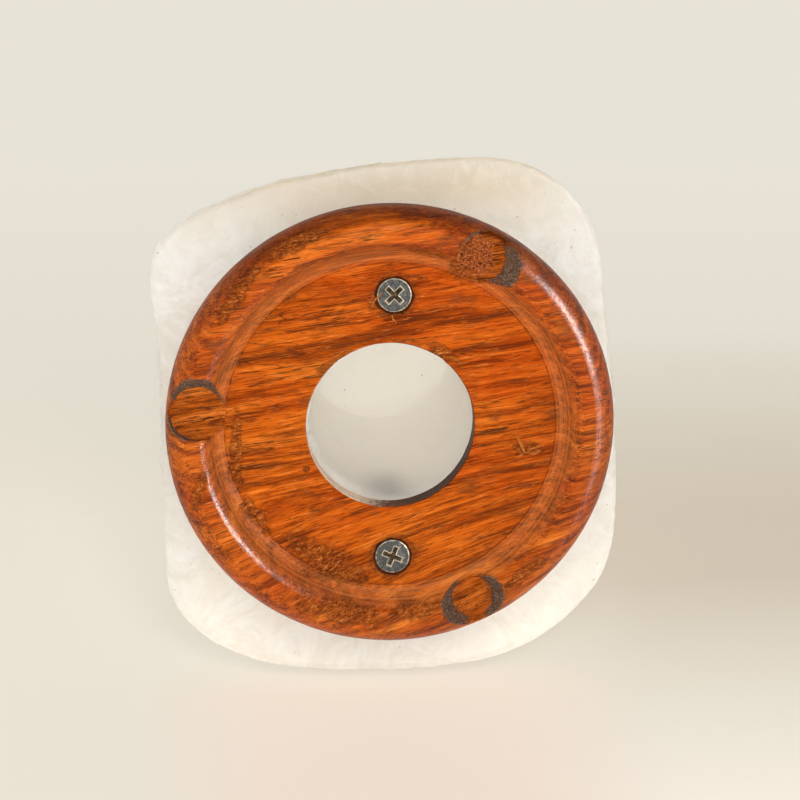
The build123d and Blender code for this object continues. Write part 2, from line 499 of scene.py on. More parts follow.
def pocket_amounts(places):
    """1 on the raw wood in the foot pockets, and 1 on the arcs of their walls painted as end grain
    and painted shade.
    """
    raw, end_grain = np.zeros(len(places)), np.zeros(len(places))
    for place, floor_radius, skew, arcs in zip(FOOT_PLACES, FOOT_FLOORS, FOOT_SKEWS, END_GRAIN_AND_SHADE_ARCS):
        deep = place.z + FLOOR_SPARE
        sunk = np.clip(places[:, 2] / deep, 0, 1)
        across = places[:, 0] - place.x - sunk * skew[0]
        along = places[:, 1] - place.y - sunk * skew[1]
        radius = np.hypot(across, along)
        wall = FOOT_MOUTH_RADIUS + sunk * (floor_radius - FOOT_MOUTH_RADIUS)
        near = smooth_step(1.1, 0.4, abs(radius - wall))
        inside = smooth_step(wall + 0.5, wall + 0.3, radius)
        heading = np.degrees(np.arctan2(along, across))
        in_arc = np.zeros(len(places))
        for middle, half in arcs:
            off = abs((heading - middle + 180) % 360 - 180)
            in_arc = np.maximum(in_arc, smooth_step(half + 12, half - 12, off))
        on_wall = near * inside * smooth_step(0.1, 0.5, places[:, 2])
        on_floor = smooth_step(0.9, 0.5, abs(places[:, 2] - deep)) * (radius < floor_radius + 0.3)
        raw = np.maximum(raw, np.maximum(on_wall, on_floor))
        above_floor = smooth_step(deep, deep - 0.5, places[:, 2])
        end_grain = np.maximum(end_grain, on_wall * in_arc * above_floor)
    return raw, end_grain


def gap_amount(places):
    """1 in the gaps round the screw heads, where the material paints shade."""
    gap = np.zeros(len(places))
    for node in SCREWS:
        x, y, _ = middle_mm(node)
        near = from_axis(places, x, y) < COUNTERBORE_RADIUS + COUNTERBORE_FLARE
        sunk = smooth_step(RECESS_DEPTH + 0.1, RECESS_DEPTH + 0.5, places[:, 2])
        gap = np.maximum(gap, near * sunk)
    return gap


CURL_STEPS = 8


def fibre(points, width):
    """A thin torn fibre along (x, y, z) points: a flat strip that tapers to both ends."""
    points = np.array(points, float)
    ahead = np.gradient(points, axis=0)
    side = np.stack([-ahead[:, 1], ahead[:, 0], np.zeros(len(points))], axis=1)
    side /= np.linalg.norm(side, axis=1)[:, None]
    taper = np.sin(np.linspace(0.25, pi - 0.12, len(points)))[:, None] * width / 2
    middle = points - (0, 0, 0.35 * width)
    rows = np.stack([points - side * taper, middle, points + side * taper], axis=1)
    faces = []
    for i in range(len(points) - 1):
        for j in range(2):
            faces.append((3 * i + j, 3 * i + j + 1, 3 * i + j + 4, 3 * i + j + 3))
    return rows.reshape(-1, 3), faces


def curl(x, y, z, heading, length, bend, rise):
    """The points of a fibre that starts at (x, y, z), bends evenly and lifts in its middle."""
    points = []
    for i in range(CURL_STEPS + 1):
        points.append((x, y, z - rise * sin(pi * i / CURL_STEPS)))
        x += length / CURL_STEPS * cos(heading)
        y += length / CURL_STEPS * sin(heading)
        heading += bend / CURL_STEPS
    return points


# Splinters on the recess floor: start X and Y, heading and bend in degrees, length, width, rise
SPLINTERS = (
    (30.8, 2.6, 62, 8, 5.6, 0.75, 1.1),
    (33.3, 7.6, -52, 78, 6.0, 0.5, 0.9),
    (33.5, 7.4, 14, -60, 3.6, 0.75, 0.5),
    (33.2, 7.2, 150, 15, 3.0, 0.45, 0.5),
    (-4.6, -29.4, -78, 60, 5.0, 0.35, 0.5),
    (0.4, -27.6, 80, -50, 2.4, 0.4, 0.4),
)
# The frayed mat in one foot pocket: middle X and Y, half its size in X and Y, and its fibres
FRAYED = (20.4, -42.4, 4.2, 5.2)
FRAYED_FIBRES = 240
# What the "loose" mask holds on each kind of fibre
SPLINTER_MARK, FRAYED_MARK = 1.0, 0.5


def torn_fibres():
    """The splinters and the frayed mat in one foot pocket: places, faces and marks."""
    strips = [
        fibre(curl(x, y, RECESS_DEPTH - 0.1, radians(heading), length, radians(bend), rise), width)
        for x, y, heading, bend, length, width, rise in SPLINTERS
    ]
    dice = np.random.default_rng(12)
    x, y, half_x, half_y = FRAYED
    for _ in range(FRAYED_FIBRES):
        spread, turn = dice.uniform(0, 1) ** 0.5, dice.uniform(0, 2 * pi)
        across, along = spread * cos(turn), spread * sin(turn)
        start = (x + half_x * across, y + half_y * along)
        z = dice.uniform(0.5, 1.4) + 1.3 * (1 + across)
        heading, bend = dice.uniform(0, 2 * pi), dice.uniform(-2.6, 2.6)
        points = curl(*start, z, heading, dice.uniform(0.9, 2.3), bend, dice.uniform(0.05, 0.4))
        strips.append(fibre(points, dice.uniform(0.18, 0.34)))
    places, faces, marks = [], [], []
    for number, (rows, quads) in enumerate(strips):
        faces += [tuple(len(places) + corner for corner in quad) for quad in quads]
        places += [tuple(row) for row in rows]
        marks += [SPLINTER_MARK if number < len(SPLINTERS) else FRAYED_MARK] * len(rows)
    return places, faces, marks


def add_fibres(mesh):
    """Adds the torn fibres to the base's mesh and returns the mark of each vertex."""
    places, faces, marks = torn_fibres()
    before = len(mesh.vertices)
    strips = bpy.data.meshes.new("fibres")
    strips.from_pydata([Vector(p) * MM for p in places], [], faces)
    joined = bmesh.new()
    joined.from_mesh(mesh)
    joined.from_mesh(strips)
    joined.to_mesh(mesh)
    joined.free()
    bpy.data.meshes.remove(strips)
    return np.concatenate([np.zeros(before), marks])


def make_base():
    """The turned base with torn grain, rough foot pockets and screw counterbores."""
    mesh = turned_mesh("wooden_base_detail", base_outline(), WOOD_SEGMENTS, closed=True)
    p = vertices_of(mesh)
    _, depth = torn_amount(p)
    c, s = cos(GRAIN_TURN), sin(GRAIN_TURN)
    grain = np.stack([c * p[:, 0] + s * p[:, 1], c * p[:, 1] - s * p[:, 0], p[:, 2]], axis=1)
    fibres = 0.5 + 0.5 * rough_noise(grain * (0.3, 1, 1), 0.9, 3)
    waver = WAVER_DEPTH * (1 + cell_noise(p / WAVER_SIZE, 5))
    ripple = RIPPLE_DEPTH * (1 + cell_noise(grain * (0.12, 0.9, 0.9), 8))
    inward = depth * np.clip(fibres, 0, 1.3) + waver + ripple
    move_vertices(mesh, p - normals_of(mesh) * inward[:, None])
    base = add_object("wooden_base_detail", mesh)
    for number, place in enumerate(FOOT_PLACES):
        shape = FOOT_FLOORS[number], FOOT_SKEWS[number], FOOT_ROUGHNESS[number]
        cut_away(base, pocket_cutter(place, *shape, 50 + number))
    for node in SCREWS:
        cut_away(base, screw_cutter(node))
    loose = add_fibres(base.data)
    places = vertices_of(base.data)
    raw, end_grain = pocket_amounts(places)
    torn, _ = torn_amount(places)
    masks = {"torn": torn, "raw": raw, "end_grain": end_grain, "gap": gap_amount(places)}
    for name, values in masks.items():
        keep_mask(base.data, name, values * (loose == 0))
    keep_mask(base.data, "loose", loose)
    shade_with_crisp_edges(base.data)
    return base


# ---------------- salt crystal

SALT_VOXEL = 0.75
SALT_SMOOTHING = 4
# The skin's relief, from the broadest to the finest, and the chipping of the bore's mouth
LUMP_SIZE, LUMP_DEPTH = 26.0, 0.35
CHIP_SIZE, CHIP_DEPTH = 11.0, 1.1
GRAIN_SIZE, GRAIN_DEPTH = 2.2, 0.12
MOUTH_SIZE, MOUTH_DEPTH = 1.8, 0.8
# Chipped hollows on the skin: middle X, Y and Z, radius and depth
HOLLOWS = (
    (59, 29, 24, 13, 2.3),
    (54, 46, 24, 11, 1.9),
    (58.5, 12, 24, 6, 0.8),
    (-60, -2, 26, 9, 0.7),
    (-59, 22, 26, 8, 0.6),
    (40, 60, 24, 8, 0.9),
    (-10, -66, 26, 8, 0.7),
    (-44, 60, 24, 8, 0.7),
)


def make_crystal():
    """The crystal with hewn dents and grain on its skin and a chipped bore mouth."""
    mesh = frame["nodes"]["salt_crystal"].data.copy()
    crystal = add_object("salt_crystal_detail", mesh)
    remesh = crystal.modifiers.new("remesh", "REMESH")
    remesh.mode = "VOXEL"
    remesh.voxel_size = SALT_VOXEL * MM
    apply_modifiers(crystal)
    soften = crystal.modifiers.new("soften", "SMOOTH")
    soften.iterations = SALT_SMOOTHING
    apply_modifiers(crystal)
    mesh = crystal.data
    p, n = vertices_of(mesh), normals_of(mesh)
    spoke = p[:, :2] - BORE_SHIFT
    from_bore = np.hypot(spoke[:, 0], spoke[:, 1])
    above_bore = p[:, 2] > BASE_HEIGHT + BORE_DEPTH + 8
    skin = smooth_step(BORE_RADIUS + 3, BORE_RADIUS + 9, from_bore + 60 * above_bore)
    foot = smooth_step(BASE_HEIGHT + 0.3, BASE_HEIGHT + 4, p[:, 2])
    edge = smooth_step(BASE_RADIUS - 3, BASE_RADIUS + 1, from_axis(p))
    off_disc = np.maximum(foot, edge)
    lumps = LUMP_DEPTH * (0.9 + rough_noise(p, LUMP_SIZE, 101, 2))
    spread = p + 2 * rough_noise(p, 6, 7, 2)[:, None]
    chips = CHIP_DEPTH * np.clip(1 - facet_dents(spread, CHIP_SIZE, 211), 0, 1)
    for *middle, radius, depth in HOLLOWS:
        away_from = np.linalg.norm(spread - middle, axis=1)
        chips += depth * smooth_step(radius, 0.2 * radius, away_from)
    grain = GRAIN_DEPTH * (1 + rough_noise(p, GRAIN_SIZE, 303, 3))
    inward = skin * off_disc * (lumps + chips) * np.maximum(foot, 0.25)
    inward += grain * np.maximum(skin * off_disc, 0.15)
    p -= n * inward[:, None]
    near_mouth = smooth_step(BASE_HEIGHT + 5.5, BASE_HEIGHT + 0.5, p[:, 2])
    on_wall = smooth_step(BORE_RADIUS + 1.8, BORE_RADIUS + 1.2, from_bore)
    chipped = np.clip(0.35 + rough_noise(p, MOUTH_SIZE, 404, 3), 0, 1.2) * MOUTH_DEPTH
    p[:, :2] += spoke / from_bore[:, None] * (chipped * near_mouth * on_wall)[:, None]
    move_vertices(mesh, p)
    mesh.shade_smooth()
    return crystal


# ---------------- screws

HEAD_ROUNDING = 0.25
CROSS_REACH = 2.55
CROSS_WIDTH = 1.15
CROSS_DEPTH = 2.0
# The recess from above the head to its floor: depth, then shares of its reach and its width
CROSS_LEVELS = ((-1.0, 1.22, 1.25), (0.0, 1.0, 1.0), (0.9, 0.84, 0.9), (CROSS_DEPTH, 0.42, 0.5))
THREAD_PITCH = 1.8
THREAD_DEPTH = 0.65
POINT_LENGTH = 5.0
BURR_HEIGHT, DENT_DEPTH = 0.12, 0.06


def plus_outline(reach, half_width):
    """The twelve corners of a plus sign."""
    corners = [(reach, -half_width), (reach, half_width), (half_width, half_width)]
    points = []
    for quarter in range(4):
        c, s = cos(quarter * pi / 2), sin(quarter * pi / 2)
        points += [(c * x - s * y, s * x + c * y) for x, y in corners]
    return points


def cross_cutter(turn):
    """The cross recess: four wings that narrow and shorten towards the bottom."""
    rings = []
    for sunk, reach, width in CROSS_LEVELS:
        outline = plus_outline(CROSS_REACH * reach, CROSS_WIDTH / 2 * width)
        rings.append([(x, y, HEAD_FACE + sunk) for x, y in outline])
    mesh = ring_mesh("cross_cutter", np.array(rings))
    mesh.transform(Matrix.Rotation(radians(turn), 4, "Z"))
    return add_object("cross_cutter", mesh)


def off_cross(places, turn):
    """How far each place lies outside the cross's outline; negative inside it."""
    c, s = cos(radians(turn)), sin(radians(turn))
    x = abs(c * places[:, 0] + s * places[:, 1])
    y = abs(c * places[:, 1] - s * places[:, 0])
    half = CROSS_WIDTH / 2
    lying = np.maximum(x - CROSS_REACH, y - half)
    upright = np.maximum(x - half, y - CROSS_REACH)
    return np.minimum(lying, upright)


def make_screw(node):
    """A countersunk wood screw with a worn cross recess and a helical thread."""
    neck = HEAD_FACE + HEAD_EDGE + HEAD_RADIUS - SHANK_RADIUS
    thread_end = SCREW_TIP - POINT_LENGTH
    outline = route(
        (0.3, HEAD_FACE),
        ((HEAD_RADIUS - HEAD_ROUNDING, HEAD_FACE), 0.14),
        ((HEAD_RADIUS, HEAD_FACE + HEAD_ROUNDING), 0.1, -HEAD_ROUNDING),
        ((HEAD_RADIUS, HEAD_FACE + HEAD_EDGE), 0.3),
        ((SHANK_RADIUS, neck), 0.5),
        ((SHANK_RADIUS, thread_end), 0.2),
        ((0.3, SCREW_TIP), 0.2),
    )
    mesh = turned_mesh(node + "_detail", outline, SCREW_SEGMENTS)
    p = vertices_of(mesh)
    around = np.arctan2(p[:, 1], p[:, 0]) / (2 * pi)
    phase = (p[:, 2] / THREAD_PITCH - around) % 1
    root = smooth_step(0.14, 0.42, abs(phase - 0.5))
    threaded = smooth_step(neck + 1, neck + 2.5, p[:, 2])
    threaded *= 1 - 0.5 * smooth_step(thread_end, SCREW_TIP, p[:, 2])
    p[:, :2] *= (1 - THREAD_DEPTH / SHANK_RADIUS * root * threaded)[:, None]
    turn = SCREWS[node]
    on_face = p[:, 2] < HEAD_FACE + 0.01
    burr = smooth_step(0.40, 0.12, off_cross(p, turn)) * (1 + 0.5 * cell_noise(p / 0.5, 61))
    dents = np.clip(rough_noise(p, 1.4, 63, 2), 0, 1)
    p[:, 2] += on_face * (DENT_DEPTH * dents - BURR_HEIGHT * burr)
    move_vertices(mesh, p)
    screw = add_object(node + "_detail", mesh)
    cut_away(screw, cross_cutter(turn))
    made = vertices_of(screw.data)
    outside = off_cross(made, turn)
    edge = smooth_step(0.24, 0.06, abs(outside))
    face = smooth_step(HEAD_FACE + 0.45, HEAD_FACE + 0.1, made[:, 2])
    rim = smooth_step(0.22, 0.1, abs(from_axis(made) - HEAD_RADIUS + 0.12))
    keep_mask(screw.data, "worn", np.maximum(edge, 0.6 * rim) * face)
    sunk = smooth_step(HEAD_FACE + 0.5, HEAD_FACE + 1.3, made[:, 2])
    inside = smooth_step(0.05, -0.1, outside)
    keep_mask(screw.data, "sunk", sunk * inside)
    x, y, _ = middle_mm(node)
    screw.data.transform(Matrix.Translation(Vector((x, y, 0)) * MM))
    shade_with_crisp_edges(screw.data)
    return screw


# ---------------- materials


def paint(red, green, blue):
    """A colour written as 0 to 255 on screen, as the linear colour that shaders take."""
    return (*[((c / 255 + 0.055) / 1.055) ** 2.4 for c in (red, green, blue)], 1)


# Tones from dark to pale, each with its place on the noise that picks it
WOOD_TONES = (
    (0.32, paint(92, 39, 10)),
    (0.40, paint(130, 55, 8)),
    (0.47, paint(160, 73, 12)),
    (0.55, paint(185, 90, 18)),
    (0.68, paint(208, 117, 38)),
)
RAW_TONES = ((0.36, paint(120, 56, 18)), (0.46, paint(174, 85, 22)), (0.60, paint(206, 114, 42)))
TORN_TONES = (
    (0.40, paint(78, 38, 16)),
    (0.47, paint(132, 64, 22)),
    (0.55, paint(168, 88, 32)),
    (0.63, paint(212, 138, 70)),
)
# End grain and painted shade on the pockets' walls
END_GRAIN_AND_SHADE_TONES = (
    (0.36, paint(66, 56, 50)), (0.50, paint(92, 80, 71)), (0.66, paint(138, 119, 101))
)
FRAYED_TONES = ((0.35, paint(122, 56, 22)), (0.65, paint(206, 118, 66)))
SPLINTER_TONES = ((0.35, paint(160, 82, 26)), (0.65, paint(214, 132, 62)))
SALT_CRUST_TONES = ((0.35, paint(196, 176, 152)), (0.6, paint(244, 228, 208)))
SALT_TONES = (
    (0.38, paint(240, 231, 220)), (0.5, paint(249, 243, 235)), (0.62, paint(254, 251, 246))
)
STEEL_TONES = ((0.38, paint(50, 54, 58)), (0.50, paint(74, 77, 79)), (0.62, paint(112, 112, 107)))
BRASS_TONES = ((0.40, paint(128, 104, 72)), (0.60, paint(196, 176, 140)))
NYLON_TONES = ((0.4, paint(230, 227, 219)), (0.6, paint(238, 236, 229)))

RED_TINT = paint(226, 172, 130)
DARK_LINE = paint(70, 38, 16)
PORE = paint(84, 38, 12)
GLINT = paint(232, 146, 70)
VEIN = paint(64, 30, 14)
STAIN = paint(98, 52, 26)
DUST = paint(190, 124, 76)
RIM_PAINTED_SHADE = paint(150, 140, 150)
HOLE_WALL_PAINTED_SHADE = paint(32, 21, 15)
GAP_SHADE = paint(40, 26, 18)
SALT_PAINTED_SHADE = paint(202, 183, 160)
SALT_CLEAR_PATCH_AND_SHADE = paint(220, 204, 178)
SALT_BORE_PAINTED_LIGHT = paint(255, 249, 238)
SALT_SPECK = paint(150, 138, 122)
RECESS_PAINTED_SHADE = paint(50, 44, 38)
WORN_STEEL = paint(206, 196, 176)

# The heart of the log runs along the grain through this place
PITH = (0, -60, -60)


class Graph:
    """The nodes of a material or of the world, and the short calls that build them."""

    def __init__(self, owner, output="OutputMaterial"):
        owner.use_nodes = True
        self.owner = owner
        self.tree = owner.node_tree
        self.tree.nodes.clear()
        self.result = self.add(output)

    def add(self, kind, inputs=None, **settings):
        """A node of this kind, with constants or other nodes' sockets as its inputs."""
        made = self.tree.nodes.new("ShaderNode" + kind)
        for name, value in settings.items():
            setattr(made, name, value)
        for key, value in (inputs or {}).items():
            if isinstance(value, bpy.types.NodeSocket):
                self.tree.links.new(value, made.inputs[key])
            else:
                made.inputs[key].default_value = value
        return made

    def places(self, turn=0.0):
        """Places on the object in millimetres, turned about Z."""
        where = self.add("TexCoord").outputs["Object"]
        inputs = {0: where, "Rotation": (0, 0, turn), "Scale": (1 / MM, 1 / MM, 1 / MM)}
        return self.add("Mapping", inputs).outputs[0]

    def parts(self, vector):
        """A vector's X, Y and Z."""
        return self.add("SeparateXYZ", {0: vector}).outputs

    def vector(self, operation, first, second=(0, 0, 0)):
        """The outputs of a sum on two vectors."""
        return self.add("VectorMath", {0: first, 1: second}, operation=operation).outputs

    def distance(self, places, point, kept):
        """How far places are from a line through the point; kept is 0 along the line."""
        off = self.vector("SUBTRACT", places, point)[0]
        return self.vector("LENGTH", self.vector("MULTIPLY", off, kept)[0])["Value"]

    def noise(self, places, cell, detail=4.0, roughness=0.5, warp=0.0):
        """Noise from 0 to 1 in cells of this size in millimetres, along X, Y and Z."""
        inputs = {
            "Vector": self.vector("MULTIPLY", places, [1 / size for size in cell])[0],
            "Scale": 1.0,
            "Detail": detail,
            "Roughness": roughness,
            "Distortion": warp,
        }
        return self.add("TexNoise", inputs).outputs[0]

    def layers(self, distance, detail=4.0, roughness=0.5):
        """Noise from 0 to 1 that changes along one distance only."""
        inputs = {"W": distance, "Scale": 1.0, "Detail": detail, "Roughness": roughness}
        return self.add("TexNoise", inputs, noise_dimensions="1D").outputs[0]

    def math(self, operation, first, second=0.0):
        """A sum on two values."""
        return self.add("Math", {0: first, 1: second}, operation=operation).outputs[0]

    def times(self, *values):
        """The values multiplied."""
        return reduce(partial(self.math, "MULTIPLY"), values)

    def plus(self, *values):
        """The values added."""
        return reduce(partial(self.math, "ADD"), values)

    def most(self, *values):
        """The greatest of the values."""
        return reduce(partial(self.math, "MAXIMUM"), values)

    def rest(self, value):
        """What the value leaves of 1."""
        return self.math("SUBTRACT", 1.0, value)

    def swing(self, noise, height):
        """Noise as a swing to both sides of 0, of this height in all."""
        return self.times(self.math("SUBTRACT", noise, 0.5), height)

    def rescale(self, value, low, high, to_low=0.0, to_high=1.0):
        """A value stretched so that low and high become to_low and to_high, kept between them."""
        inputs = {0: value, 1: low, 2: high, 3: to_low, 4: to_high}
        return self.add("MapRange", inputs).outputs[0]

    def mask(self, name):
        """A mask that the mesh carries."""
        return self.add("Attribute", attribute_name=name).outputs["Fac"]

    def blend(self, amount, first, second, how="MIX"):
        """Two colours blended."""
        inputs = {0: amount, 6: first, 7: second}
        return self.add("Mix", inputs, data_type="RGBA", blend_type=how).outputs[2]

    def ramp(self, value, tones):
        """A colour for each value, from tones."""
        node = self.add("ValToRGB", {0: value})
        elements = node.color_ramp.elements
        while len(elements) < len(tones):
            elements.new(0.5)
        for element, (place, colour) in zip(elements, tones):
            element.position = place
            element.color = colour
        return node.outputs[0]

    def bump(self, height, distance, normal=None):
        """A normal from a height, where 1 is the distance in millimetres."""
        inputs = {"Height": height, "Distance": distance * MM}
        if normal:
            inputs["Normal"] = normal
        return self.add("Bump", inputs).outputs[0]

    def principled(self, inputs):
        """A principled shader."""
        return self.add("BsdfPrincipled", inputs).outputs[0]

    def surface(self, shader):
        """Makes the shader the surface and returns the material or world."""
        self.tree.links.new(shader, self.result.inputs["Surface"])
        return self.owner


def wood_grain(g, p, raw):
    """The wood's own colour, its fine relief and the streaks along its grain."""
    wave = g.times(g.noise(p, (45, 18, 18), 3), 9)
    from_pith = g.plus(g.distance(p, PITH, (0, 1, 1)), wave)
    rings = g.layers(g.times(from_pith, 0.42), 5, 0.62)
    streaks = g.noise(p, (24, 1.5, 1.5), 4, 0.55, 0.4)
    fibres = g.noise(p, (7, 0.4, 0.4), 3, 0.6)
    tone = g.plus(g.times(rings, 0.5), g.times(streaks, 0.5), g.swing(fibres, 0.32))
    wood = g.ramp(tone, WOOD_TONES)
    red = g.rescale(g.noise(p, (34, 11, 11), 3), 0.44, 0.62, 0, 0.55)
    wood = g.blend(red, wood, g.blend(1.0, wood, RED_TINT, "MULTIPLY"))
    wood = g.blend(g.times(raw, 0.85), wood, g.ramp(tone, RAW_TONES))

    bands = g.rescale(g.noise(p, (32, 4.2, 4.2), 3, 0.6), 0.44, 0.62)
    bands = g.most(bands, g.times(raw, 0.7))
    lines = g.rescale(g.noise(p, (10, 0.42, 0.42), 4, 0.65, 0.3), 0.525, 0.57)
    wood = g.blend(g.times(lines, bands, 0.95), wood, DARK_LINE)
    pores = g.rescale(g.noise(p, (3.2, 0.26, 0.26), 2), 0.57, 0.65)
    wood = g.blend(g.times(pores, 0.6), wood, PORE)
    glints = g.rescale(g.noise(p, (4.5, 0.3, 0.3), 3, 0.6), 0.60, 0.70, 0, 0.4)
    wood = g.blend(glints, wood, GLINT)
    contours = g.math("ABSOLUTE", g.swing(g.noise(p, (70, 7, 7), 3, 0.5), 1))
    veins = g.rescale(contours, 0.009, 0.001, 0, 0.75)
    wood = g.blend(g.times(veins, g.rescale(fibres, 0.40, 0.52)), wood, VEIN)
    stains = g.rescale(g.noise(p, (12, 5, 5), 4, 0.65), 0.56, 0.66, 0, 0.55)
    wood = g.blend(stains, wood, STAIN)
    relief = g.plus(g.times(fibres, 0.5), g.times(pores, -0.9), g.times(lines, -0.5))
    return wood, relief, streaks


def turned_marks(g, p, wood, radius, raw):
    """The wood with dusty rings in the cove, painted shade and sheen on the rim at -Y, and a hole
    wall of salt crust and painted shade.
    """
    turning = g.layers(g.times(radius, 2.6), 3, 0.6)
    from_inside = g.rescale(radius, RECESS_RADIUS - 0.8, RECESS_RADIUS + 0.6)
    from_outside = g.rescale(radius, CROWN_INNER + 1.7, CROWN_INNER + 0.5)
    on_cove = g.times(from_inside, from_outside, g.rest(raw))
    dust = g.times(g.rescale(turning, 0.42, 0.66, 0.1, 0.6), on_cove)
    wood = g.blend(dust, wood, DUST)
    x, y, _ = g.parts(g.places())
    # Painted shade with a greyish painted sheen on the outer rim, growing towards -Y
    rim = g.rescale(radius, BASE_RADIUS - 5, BASE_RADIUS - 1.5)
    rim = g.times(rim, g.rescale(y, -22, -44, 0, 0.75))
    wood = g.blend(rim, wood, g.blend(1.0, wood, RIM_PAINTED_SHADE, "MULTIPLY"))
    # The hole's wall: pale salt crust towards -X, and painted shade over the rest of it, towards +X
    hole_wall = g.rescale(radius, HOLE_RADIUS + 0.28, HOLE_RADIUS + 0.08, 0, 0.9)
    sparkle = g.noise(p, (1.2, 1.2, 1.2), 4, 0.7)
    salted = g.rescale(g.plus(x, g.swing(sparkle, 24)), -1, -7)
    crust_and_shade = g.blend(salted, HOLE_WALL_PAINTED_SHADE, g.ramp(sparkle, SALT_CRUST_TONES))
    return g.blend(hole_wall, wood, crust_and_shade), turning, on_cove


def cut_marks(g, p, wood, raw):
    """The wood with its torn and cut places, where they are, and their coarse relief."""
    crumbs = g.noise(p, (2.6, 0.7, 0.7), 5, 0.8)
    torn = g.rescale(g.plus(g.mask("torn"), g.swing(crumbs, 2.6)), 0.25, 1.05)
    splintery = g.noise(p, (1.3, 0.5, 0.5), 5, 0.8)
    wood = g.blend(g.times(torn, 0.85), wood, g.ramp(splintery, TORN_TONES))
    grit = g.noise(p, (0.5, 0.5, 0.9), 3, 0.7)
    # Dark grey end grain and painted shade on arcs of the pockets' walls
    end_grain = g.mask("end_grain")
    wood = g.blend(g.times(end_grain, 0.9), wood, g.ramp(grit, END_GRAIN_AND_SHADE_TONES))
    loose = g.mask("loose")
    on_splinter = g.rescale(loose, 0.6, 0.9)
    fibres = g.blend(on_splinter, g.ramp(grit, FRAYED_TONES), g.ramp(grit, SPLINTER_TONES))
    wood = g.blend(g.rescale(loose, 0.1, 0.3), wood, fibres)
    # Painted shade in the gaps round the screw heads
    gap = g.mask("gap")
    wood = g.blend(g.times(gap, 0.8), wood, GAP_SHADE)
    return wood, g.most(torn, raw, end_grain, gap, loose), g.plus(splintery, grit)


def make_wood():
    """Varnished rosewood: one block of grain through the whole base, torn where it was cut."""
    g = Graph(bpy.data.materials.new("rosewood"))
    p = g.places(-GRAIN_TURN)
    along, across, _ = g.parts(p)
    lean = g.times(along, g.rescale(across, 6, 42, 0, 0.32))
    p = g.vector("ADD", p, g.add("CombineXYZ", {1: lean}).outputs[0])[0]
    raw = g.mask("raw")
    radius = g.distance(g.places(), (0, 0, 0), (1, 1, 0))
    wood, relief, streaks = wood_grain(g, p, raw)
    wood, turning, on_cove = turned_marks(g, p, wood, radius, raw)
    wood, cut, coarse_relief = cut_marks(g, p, wood, raw)
    normal = g.bump(relief, 0.07)
    normal = g.bump(g.times(coarse_relief, cut), 0.3, normal)
    normal = g.bump(g.times(turning, g.most(on_cove, 0.2)), 0.05, normal)
    varnish = g.times(g.rescale(radius, 40, 44, 0.06, 0.36), g.rest(on_cove), g.rest(cut))
    return g.surface(g.principled({
        "Base Color": wood,
        "Roughness": g.plus(0.40, g.times(cut, 0.4), g.swing(streaks, 0.3)),
        "Normal": normal,
        "Specular IOR Level": 0.03,
        "Coat Weight": varnish,
        "Coat Roughness": 0.23,
        "Coat Normal": g.bump(g.plus(relief, g.times(turning, 0.8)), 0.018),
    }))


def make_salt():
    """Cloudy rock salt: pale, warm and translucent, with a fine grain and a few dark specks,
    painted shade on its -Y side and painted light in its bore.
    """
    g = Graph(bpy.data.materials.new("rock_salt"))
    p = g.places()
    y = g.parts(p)[1]
    clouds = g.noise(p, (14, 14, 14), 6, 0.7, 0.8)
    crystals = g.noise(p, (6, 6, 6), 5, 0.65, 1.0)
    salt = g.ramp(clouds, SALT_TONES)
    # Painted shade over the crystal's -Y side
    salt = g.blend(g.rescale(y, -40, -58), salt, SALT_PAINTED_SHADE)
    # Darker crystal patches, only at the far -Y side, add to the painted shade there
    clear = g.times(g.rescale(crystals, 0.47, 0.60), g.rescale(y, -52, -63), 0.6)
    salt = g.blend(clear, salt, SALT_CLEAR_PATCH_AND_SHADE)
    # Painted light: the bore's walls are painted nearly white
    from_bore = g.distance(p, (*BORE_SHIFT, 0), (1, 1, 0))
    bore_painted_light = g.rescale(from_bore, BORE_RADIUS + 3, BORE_RADIUS + 1.5, 0, 0.85)
    salt = g.blend(bore_painted_light, salt, SALT_BORE_PAINTED_LIGHT)
    specks = g.rescale(g.noise(p, (1.1, 1.1, 1.1), 2), 0.735, 0.76, 0, 0.6)
    salt = g.blend(specks, salt, SALT_SPECK)
    grain = g.noise(p, (0.8, 0.8, 0.8), 4, 0.65)
    return g.surface(g.principled({
        "Base Color": salt,
        "Roughness": g.rescale(clouds, 0.3, 0.7, 0.62, 0.46),
        "Normal": g.bump(g.plus(grain, g.times(crystals, 1.5)), 0.16),
        "Subsurface Weight": 1.0,
        "Subsurface Radius": (1.0, 0.93, 0.87),
        "Subsurface Scale": 0.2,
        "IOR": 1.45,
        "Specular IOR Level": 0.35,
    }))


def make_steel():
    """Passivated screw steel, worn bright round the cross, with brass tones and painted shade at
    the bottom of its recess.
    """
    g = Graph(bpy.data.materials.new("screw_steel"))
    p = g.places()
    mottle = g.noise(p, (0.7, 0.7, 0.7), 4, 0.7)
    scuffs = g.noise(p, (0.2, 1.6, 0.5), 3, 0.6)
    tone = g.plus(g.times(mottle, 0.6), g.times(scuffs, 0.4))
    # Painted shade, mottled with brass tones, at the bottom of the cross recess
    recess_shade = g.rescale(mottle, 0.44, 0.56)
    bottom = g.blend(recess_shade, g.ramp(mottle, BRASS_TONES), RECESS_PAINTED_SHADE)
    steel = g.blend(g.mask("sunk"), g.ramp(tone, STEEL_TONES), bottom)
    worn = g.rescale(g.plus(g.mask("worn"), g.swing(mottle, 1.2)), 0.40, 0.70)
    return g.surface(g.principled({
        "Base Color": g.blend(worn, steel, WORN_STEEL),
        "Metallic": 0.45,
        "Roughness": g.rescale(mottle, 0.3, 0.7, 0.34, 0.52),
        "Normal": g.bump(tone, 0.05),
    }))


